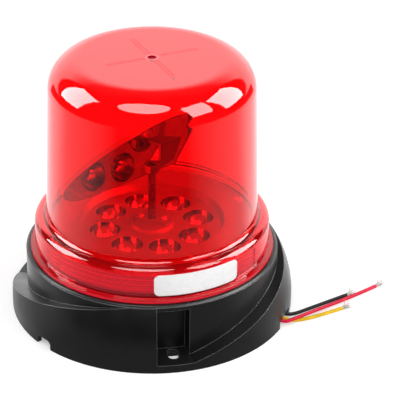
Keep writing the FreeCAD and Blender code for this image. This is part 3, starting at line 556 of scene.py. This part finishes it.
for color_name, (side, length, route) in lead_routes.items():
    points = [around_axis(radius, exit_azimuth, exit_height, side * exit_pitch)
              for radius in (exit_inner, exit_outer)]
    points += [around_axis(foot_radius + extra, azimuth, height) for extra, azimuth, height in route]
    points = [point * MM for point in points]
    lead = curve_object(f"{color_name}_lead", [points], sleeve_diameter, sleeves[color_name])
    heading = (points[-1] - points[-2]).normalized()
    strands = bared_strands(f"{color_name}_strands", points[-1], heading, side + 5)
    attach(lead, "base")
    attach(strands, "base")
    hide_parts(f"lead_{color_name}")
    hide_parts(f"strands_{color_name}")


# ================================ floor and world ================================================
floor_reach = 4.0
camera_lift = 0.4
fill_light = 0.55
backdrop = 1.3
table_glow = 2.6
sweep_glow = 1.7
key_azimuth = 98
key_elevation = 28
# Levels of the table's glow: by the share of a half turn from the front, near the part, and up to its end.
glow_by_turn = [(0.19, 0.0), (0.3, 0.17), (0.39, 0.28), (0.53, 0.34), (0.62, 0.55), (0.72, 0.54)]
glow_near_part = [(0.16, 0.13), (0.24, 0.08), (0.27, 0.0)]
table_end = [(0.5, 1.0), (0.62, 0.0)]


def outward(azimuth, elevation):
    """Direction away from the part, by its azimuth from the front towards the right."""
    az = math.radians(azimuth)
    el = math.radians(elevation)
    return Vector((math.sin(az) * math.cos(el), -math.cos(az) * math.cos(el), math.sin(el)))


def seen_through_or(wiring, reflection):
    """White backdrop for what is seen through the lens, and the studio for what gloss reflects."""
    through = wiring.ray("Transmission")
    return wiring.maths("ADD", wiring.product(through, backdrop),
                        wiring.product(wiring.maths("SUBTRACT", 1.0, through), reflection))


def table_shine(wiring, x, y):
    """What gloss reflects of the table: dark in front of the part, and paler beside and behind it."""
    aside = wiring.maths("ABSOLUTE", x)
    from_front = wiring.maths("ARCTAN2", aside, wiring.product(y, -1.0))
    around = wiring.ramp(wiring.maths("DIVIDE", from_front, math.pi), *glow_by_turn)
    distance = wiring.from_axis(x, y)
    near = wiring.ramp(distance, *glow_near_part)
    kept = wiring.highest(wiring.ramp(distance, *table_end), wiring.above(y, aside))
    return wiring.product(wiring.highest(around, near), kept, table_glow)


def pale_floor():
    """White table, lifted a little for the camera; gloss and glass see a glow in place of its surface."""
    material = principled("pale_floor", (0.8, 0.8, 0.8), 0.7, Specular_IOR_Level=0.2,
                          Emission_Color=(1, 1, 1, 1))
    shader = shader_of(material)
    wiring = Wiring(material.node_tree)
    wiring.feed(wiring.product(wiring.ray("Camera"), camera_lift), shader.inputs["Emission Strength"])
    x, y, z = wiring.parts(place_of(material))
    studio = add(material, "ShaderNodeEmission", Strength=seen_through_or(wiring, table_shine(wiring, x, y)))
    mixed = add(material, "ShaderNodeMixShader", in0=wiring.mirrored(), in1=shader.outputs[0],
                in2=studio.outputs[0])
    link(material, mixed.outputs[0], surface_of(material))
    return material


def studio_world():
    """White room for the camera and plain surfaces, and a white sweep behind the part for gloss."""
    world = bpy.data.worlds.new("studio")
    world.use_nodes = True
    wiring = Wiring(world.node_tree)
    x, y, z = wiring.parts(world.node_tree.nodes.new("ShaderNodeTexCoord").outputs["Generated"])
    back = wiring.ramp(y, (0.1, 0.0), (0.65, 1.0))
    low = wiring.ramp(z, (0.52, 1.0), (0.74, 0.06))
    key = outward(key_azimuth, key_elevation)
    towards_key = wiring.product(wiring.maths("ABSOLUTE", x), key.x)
    towards_key = wiring.maths("MULTIPLY_ADD", y, key.y, towards_key)
    towards_key = wiring.maths("MULTIPLY_ADD", z, key.z, towards_key)
    flags = wiring.ramp(towards_key, (0.8, 1.0), (0.84, 0.0))  # black cloth round the two key lamps
    sweep = wiring.product(back, low, flags, sweep_glow)
    mirrored = wiring.mirrored()
    plain = wiring.product(wiring.maths("SUBTRACT", 1.0, mirrored),
                           wiring.highest(wiring.ray("Camera"), fill_light))
    level = wiring.maths("MULTIPLY_ADD", mirrored, seen_through_or(wiring, sweep), plain)
    background = world.node_tree.nodes["Background"]
    background.inputs["Color"].default_value = (1, 1, 1, 1)
    wiring.feed(level, background.inputs["Strength"])
    return world


floor_mesh = bpy.data.meshes.new("floor")
floor_corners = [(-1, -1), (1, -1), (1, 1), (-1, 1)]
floor_mesh.from_pydata([(x * floor_reach, y * floor_reach, 0) for x, y in floor_corners], [], [(0, 1, 2, 3)])
floor_mesh.materials.append(pale_floor())
floor = bpy.data.objects.new("floor", floor_mesh)
scene.collection.objects.link(floor)
scene.world = studio_world()


# ================================ lamps ==========================================================
aim = Vector((0, 0, 0.09))


def softbox(name, azimuth, elevation, distance, size, shine, soft, shape="RECTANGLE"):
    """Area lamp that faces the part, as a bright one for gloss and glass and a softer one for the rest."""
    out = outward(azimuth, elevation)
    width, height = size
    for kind, level in (("shine", shine), ("soft", soft)):
        lamp = bpy.data.lights.new(f"{name}_{kind}", "AREA")
        lamp.shape = shape
        lamp.size = width
        lamp.size_y = height
        lamp.energy = level * math.pi * width * height
        made = bpy.data.objects.new(f"{name}_{kind}", lamp)
        made.location = aim + out * distance
        made.rotation_euler = out.to_track_quat("Z", "Y").to_euler()
        made.visible_diffuse = kind == "soft"
        made.visible_glossy = kind == "shine"
        made.visible_transmission = kind == "shine"
        scene.collection.objects.link(made)


for hand, side in (("left", -1), ("right", 1)):
    softbox(f"key_{hand}", side * key_azimuth, key_elevation, distance=1.1, size=(0.64, 0.86),
            shine=13.0, soft=5.0)
softbox("front_top", -12, 58, distance=1.2, size=(0.96, 0.72), shine=6.3, soft=3.4, shape="ELLIPSE")
softbox("front_side", 55, 34, distance=1.3, size=(0.55, 0.8), shine=9.5, soft=4.0)


# ================================ camera =========================================================
lens_data = bpy.data.cameras.new("camera")
lens_data.sensor_width = 36.0
lens_data.lens = 158.5
lens_data.shift_x = 0.12
camera = bpy.data.objects.new("camera", lens_data)
camera.location = (0, -0.8937, 0.5514)
camera.rotation_euler = (math.radians(61.43), 0, 0)
scene.collection.objects.link(camera)
scene.camera = camera
scene.view_settings.view_transform = "Standard"
